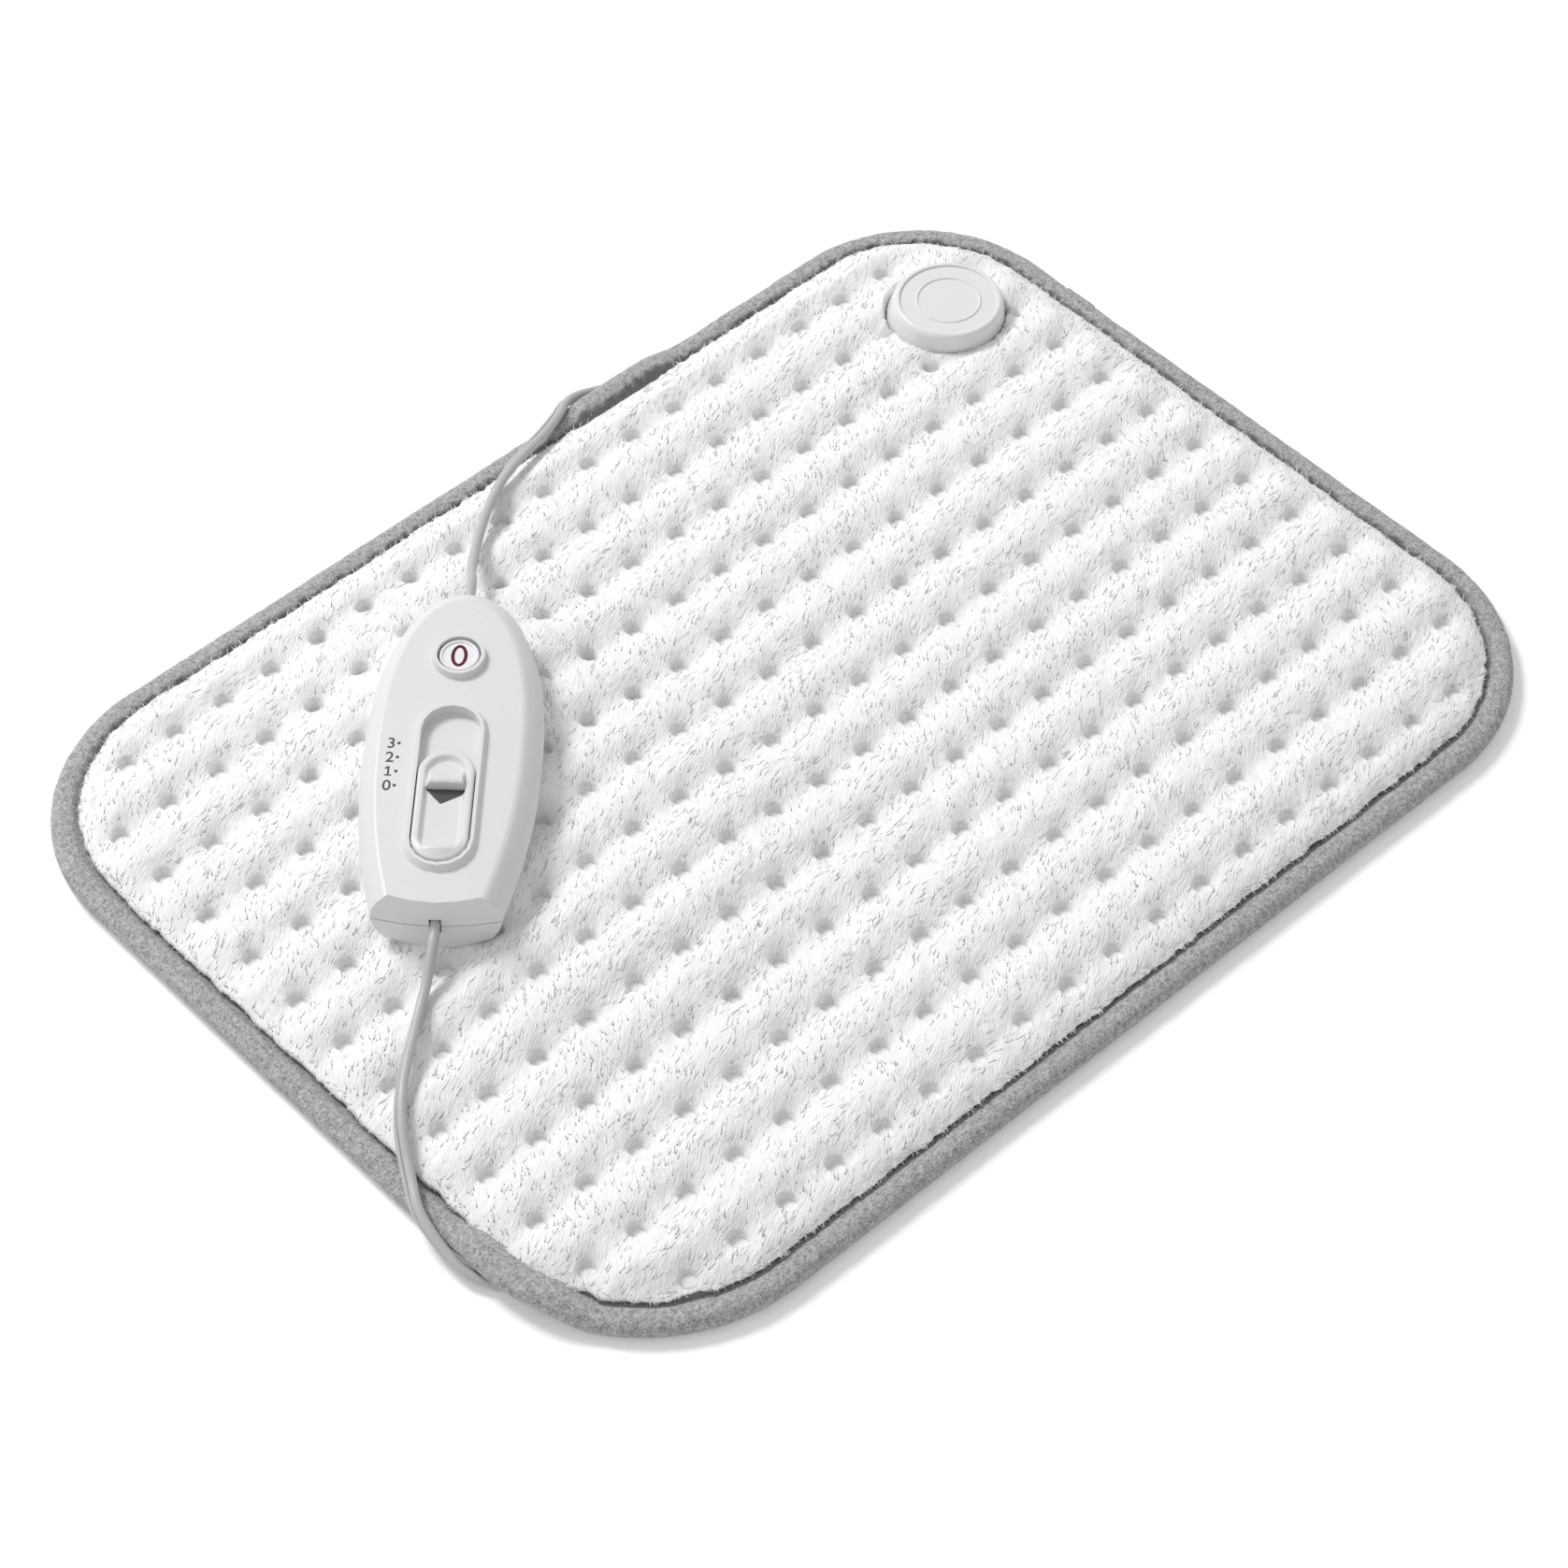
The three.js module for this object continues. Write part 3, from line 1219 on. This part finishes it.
function addContacts() {
  const start = knobCentre - slider.carriageLength / 2 + clearance;
  const top = carriageBottom - clearance;
  const low = stripTop + clearance;
  const { length, thickness, bend } = wiper;
  const leaf = bentStrip([
    [start, top], [start, top - thickness], [start + length - bend - thickness, top - thickness],
    [start + bend, low + thickness], [start + bend, low], [start + bend + thickness * 3, low],
    [start + bend + thickness * 3, low + thickness], [start + length - bend, top - thickness],
    [start + length, top - thickness], [start + length, top],
  ], 0, wiper.width);
  add(controlUnit, 'wiper_contact', leaf, 'brass');

  const stripBottom = boardTop + clearance;
  add(controlUnit, 'contact_strip', box(strip.start + clearance, strip.start + strip.length,
    -strip.width / 2, strip.width / 2, stripBottom, stripTop), 'brass');

  const tip = detentTip();
  const foot = boardTop + clearance;
  const half = detent.tipLength / 2;
  const spring = bentStrip([
    [tip - half, foot], [tip + detent.footLength, foot], [tip + detent.footLength, foot + detent.thickness],
    [tip + half + detent.thickness, foot + detent.thickness], [tip + half + detent.thickness, top - half],
    [tip, top], [tip - half, top - half], [tip - half + detent.thickness, top - half - detent.thickness],
    [tip + half, top - half - detent.thickness], [tip + half, foot + detent.thickness],
    [tip - half, foot + detent.thickness],
  ], slider.carriageWidth / 2 - slider.notchTrack / 2, detent.width);
  add(controlUnit, 'detent_spring', spring, 'steel');
}

function addCircuitBoard() {
  const { start, end, halfWidth, noseHalfWidth, noseLength, underside } = board;
  const outline = [
    [start, -halfWidth], [end - noseLength, -halfWidth], [end, -noseHalfWidth],
    [end, noseHalfWidth], [end - noseLength, halfWidth], [start, halfWidth],
  ].map(([u, v]) => new THREE.Vector2(u, v));
  add(controlUnit, 'circuit_board', prism(outline, underside, boardTop), 'board');

  const base = boardTop + clearance;
  const domeTop = lensFlangeTop - lens.flangeThickness - 2 * clearance;
  const domeFoot = domeTop - light.domeHeight;
  const lamp = turned([
    [0, base], [light.radius, base], [light.radius, domeFoot],
    [light.radius * 0.75, domeFoot + light.domeHeight * 0.7], [0, domeTop],
  ], 16);
  add(controlUnit, 'display_light', lamp.translate(lens.centre - board.noseLength / 2, 0, 0), 'clear');

  const tube = turned([
    [0, 0], [fuse.radius, 0], [fuse.radius, fuse.capLength], [fuse.radius - fuse.waist, fuse.capLength],
    [fuse.radius - fuse.waist, fuse.length - fuse.capLength], [fuse.radius, fuse.length - fuse.capLength],
    [fuse.radius, fuse.length], [0, fuse.length],
  ], 12).rotateY(Math.PI / 2);
  add(controlUnit, 'fuse', tube.translate(fuse.x - fuse.length / 2, -railOuter - fuse.besideRail - fuse.radius, base + fuse.radius), 'steel');

  const { length, width, headroom, bevel } = capacitor;
  const canTop = controller.height - controller.wall - headroom;
  const rectangle = (inset) => [[-1, -1], [1, -1], [1, 1], [-1, 1]].map(([a, b]) => new THREE.Vector2(
    capacitor.x + a * (length / 2 - inset), capacitor.y + b * (width / 2 - inset)));
  const can = loft([
    { points: rectangle(0), z: base },
    { points: rectangle(0), z: canTop - bevel },
    { points: rectangle(bevel), z: canTop },
  ]);
  add(controlUnit, 'capacitor', can, 'film');
}

function addDisplayLens() {
  const rim = controller.height + collar.height - lens.belowRim;
  const flangeBottom = lensFlangeTop - lens.flangeThickness;
  const profile = [
    [0, flangeBottom],
    [lens.flangeRadius, flangeBottom],
    [lens.flangeRadius, lensFlangeTop],
    [lens.radius, lensFlangeTop],
    [lens.radius, rim - clearance],
    [lens.radius - clearance, rim],
    [lens.dishRadius, rim],
    [lens.dishRadius * 0.82, rim - lens.dishDepth * 0.75],
    [0, rim - lens.dishDepth],
  ];
  add(controlUnit, 'display_lens', turned(profile, 28).translate(lens.centre, 0, 0), 'clear');
}

// The flex's section: two cores side by side, drawn with flat tops or as a plain hexagon.
function flexSection() {
  const halfWidth = flex.width / 2;
  const halfHeight = flex.thickness / 2;
  const shoulder = halfWidth - halfHeight;
  const bevel = halfHeight * Math.SQRT1_2;
  return [
    [halfWidth, 0], [shoulder + bevel, bevel], [shoulder, halfHeight], [-shoulder, halfHeight],
    [-shoulder - bevel, bevel], [-halfWidth, 0], [-shoulder - bevel, -bevel], [-shoulder, -halfHeight],
    [shoulder, -halfHeight], [shoulder + bevel, -bevel],
  ].map(([x, y]) => new THREE.Vector2(x, y));
}

function coilSection() {
  const halfWidth = flex.width / 2;
  const halfHeight = flex.thickness / 2;
  const shoulder = halfWidth - halfHeight / 2;
  return [
    [halfWidth, 0], [shoulder - halfHeight / 2, halfHeight], [-shoulder + halfHeight / 2, halfHeight],
    [-halfWidth, 0], [-shoulder + halfHeight / 2, -halfHeight], [shoulder - halfHeight / 2, -halfHeight],
  ].map(([x, y]) => new THREE.Vector2(x, y));
}

function addCord(name, route, steps) {
  const curve = new THREE.CatmullRomCurve3(route.map(([x, y, z]) => new THREE.Vector3(x, y, z)), false, 'centripetal');
  const points = [];
  const twists = [];
  for (let k = 0; k <= steps; k++) {
    const t = curve.getUtoTmapping(k / steps);
    points.push(curve.getPoint(t));
    const at = Math.min(t * (route.length - 1), route.length - 1 - weldDistance);
    const index = Math.floor(at);
    twists.push(degToRad(lerp(route[index][3], route[index + 1][3], at - index)));
  }
  console.log(name, 'length', curve.getLength().toFixed(1), 'mm');
  add(heatingPad, name, sweep(flexSection(), points, twists), 'pvc');
}

// The coil: clockwise from where the lead arrives, in to the middle, up a layer and out again.
function addCoil() {
  const store = new THREE.Group();
  const centre = fromController(coil.centreX, -coilOuterRadius);
  store.position.set(centre.x, centre.y, 0);
  store.rotation.z = controller.turn;
  heatingPad.add(store);
  const lower = coil.floorGap + flex.thickness / 2;
  const upper = lower + flex.thickness + coil.gap;
  const steps = Math.round(coil.stepsPerTurn * (coil.turns + coil.extraTurnShare));
  const middle = coilSweep / 2;
  const points = [];
  for (let k = 0; k <= steps; k++) {
    const wound = coilSweep * k / steps;
    const angle = Math.PI / 2 + coilSweep - wound;
    const radius = coilOuterRadius - coilPitch * (middle - Math.abs(wound - middle)) / (2 * Math.PI);
    const climb = limit((wound - middle) / Math.PI + 1 / 2, 0, 1);
    const z = lerp(lower, upper, climb * climb * (3 - 2 * climb));
    points.push(new THREE.Vector3(radius * Math.cos(angle), radius * Math.sin(angle), z));
  }
  const startAngle = Math.PI / 2 + coilSweep;
  const arrive = new THREE.Vector3(Math.sin(startAngle), -Math.cos(startAngle), 0);
  points.unshift(points[0].clone().addScaledVector(arrive, -flex.width));
  const last = points[points.length - 1].clone();
  points.push(last.add(new THREE.Vector3(flex.width, 0, 0)));
  const geometry = sweep(coilSection(), points);
  add(store, 'mains_coil', geometry, 'pvc');
  measureCoil(points);

  const tieInner = coilOuterRadius - coilPitch * middle / (2 * Math.PI) - flexHalf - 2 * clearance;
  const tieOuter = coilOuterRadius + flexHalf + 2 * clearance;
  const tieTop = upper + flex.thickness / 2 + clearance;
  const { tieThickness: thin, tieWidth: wide } = coil;
  const band = solidOf(box(tieInner - thin, tieOuter + thin, -wide / 2, wide / 2, 0, tieTop + thin))
    .subtract(solidOf(box(tieInner, tieOuter, -wide, wide, thin, tieTop)));
  add(store, 'coil_tie', geometryOf(band).rotateZ(-coil.tieAngle), 'tape');
}

// The least gap between turns, from the corners of their sections.
function measureCoil(points) {
  const section = coilSection();
  const path = new RoutedPath(points, points.map(() => 0));
  const { normals, binormals } = path.computeFrenetFrames();
  const rings = points.map((p, i) => section.map((q) => p.clone()
    .addScaledVector(normals[i], q.x).addScaledVector(binormals[i], q.y)));
  let least = Infinity;
  for (let i = 0; i < rings.length; i++) {
    for (let j = i + coil.stepsPerTurn / 2; j < rings.length; j++) {
      for (const a of rings[i]) for (const b of rings[j]) least = Math.min(least, a.distanceTo(b));
    }
  }
  console.log('mains_coil least gap to itself', least.toFixed(2), 'mm');
  console.log('mains_coil length', new THREE.CatmullRomCurve3(points).getLength().toFixed(1), 'mm');
}

// The plug lies on the floor under the controller, in line with the coil's last turn.
function addPlug() {
  const place = new THREE.Group();
  place.position.set(controllerX, controllerY, 0);
  place.rotation.z = controller.turn;
  heatingPad.add(place);
  const leanAngle = Math.atan((plug.faceThickness - plug.rearThickness) / 2 / plug.bodyLength);
  const lying = new THREE.Group();
  lying.position.set(plug.faceX, 0, plug.faceThickness / 2 + weldDistance);
  lying.rotation.y = -leanAngle;
  place.add(lying);
  const outline = (width, thickness) => {
    const quarter = plug.cornerShares.map((share, k) => [share * width / 2, plug.sideHeightShares[k] * thickness / 2]);
    const upper = [...quarter].reverse();
    return [
      ...upper.map(([a, b]) => [a, b]), ...quarter.map(([a, b]) => [-a, b]),
      ...upper.map(([a, b]) => [-a, -b]), ...quarter.map(([a, b]) => [a, -b]),
    ].map(([a, b]) => new THREE.Vector2(a, b));
  };
  const bodyEnd = -plug.bodyLength;
  const shoulder = bodyEnd - plug.reliefTipRadius / 2;
  const body = loft([
    { points: outline(plug.rearWidth - plug.reliefRadius, plug.rearThickness - plug.reliefTipRadius), z: shoulder },
    { points: outline(plug.rearWidth, plug.rearThickness), z: bodyEnd },
    { points: outline(plug.faceWidth, lerp(plug.faceThickness, plug.rearThickness, plug.taperShare)), z: -plug.taperShare * plug.bodyLength },
    { points: outline(plug.faceWidth, plug.faceThickness), z: 0 },
  ]);
  const relief = turned([
    [0, bodyEnd - plug.reliefLength], [plug.reliefTipRadius, bodyEnd - plug.reliefLength],
    [plug.reliefRadius, bodyEnd], [plug.reliefRadius, bodyEnd + plug.reliefRadius], [0, bodyEnd + plug.reliefRadius],
  ], 12);
  const along = new THREE.Matrix4().makeBasis(
    new THREE.Vector3(0, 1, 0), new THREE.Vector3(0, 0, 1), new THREE.Vector3(1, 0, 0),
  );
  let moulding = solidOf(body).add(solidOf(relief));
  const half = plug.pinSpacing / 2;
  for (const side of [-1, 1]) {
    const socketHole = cylinder(side * half, 0, plug.pinRadius + clearance, -plug.pinLength / 2, overrun, 12);
    moulding = moulding.subtract(solidOf(socketHole));
    const pin = turned([
      [0, -plug.pinLength / 2 + clearance], [plug.pinRadius, -plug.pinLength / 2 + clearance],
      [plug.pinRadius, plug.pinLength - plug.pinTip], [plug.pinRadius - plug.pinTip / 2, plug.pinLength - plug.pinTip / 3],
      [0, plug.pinLength],
    ], 12).translate(side * half, 0, 0).applyMatrix4(along);
    add(lying, side < 0 ? 'plug_pin_left' : 'plug_pin_right', pin, 'brass');
  }
  add(lying, 'plug_body', geometryOf(moulding).applyMatrix4(along), 'pvc');

  // The short run from the coil to the plug's strain relief.
  const tip = new THREE.Vector3(bodyEnd - plug.reliefLength - clearance, 0, 0);
  lying.updateMatrix();
  tip.applyMatrix4(lying.matrix);
  const coilExit = coil.centreX + flex.width + clearance;
  const coilHeight = coil.floorGap + coil.gap + flex.thickness * 1.5;
  const route = [0, 1 / 2, 1].map((share) => new THREE.Vector3(
    lerp(coilExit, tip.x, share), 0, lerp(coilHeight, tip.z, share)));
  add(place, 'plug_lead', sweep(flexSection(), route), 'pvc');
}

addEdgeBinding();
addBottomCover();
addWireCarrier();
addHeatingWire();
addTopCover();
addSocket();
addUpperHousing();
addLowerHousing();
addCordClamp('mains_cord_clamp', clamp.rearX);
addCordClamp('pad_cord_clamp', clamp.frontX);
rearBosses.forEach((at, k) => addScrew(`housing_screw_rear_${k + 1}`, at));
frontBosses.forEach((at, k) => addScrew(`housing_screw_front_${k + 1}`, at));
addSliderKnob();
addSliderCarriage();
addContacts();
addCircuitBoard();
addDisplayLens();
addCord('pad_cord', padCordRoute, cordSteps.pad);
addCord('mains_lead', mainsLeadRoute, cordSteps.lead);
addCoil();
addPlug();

export default heatingPad;
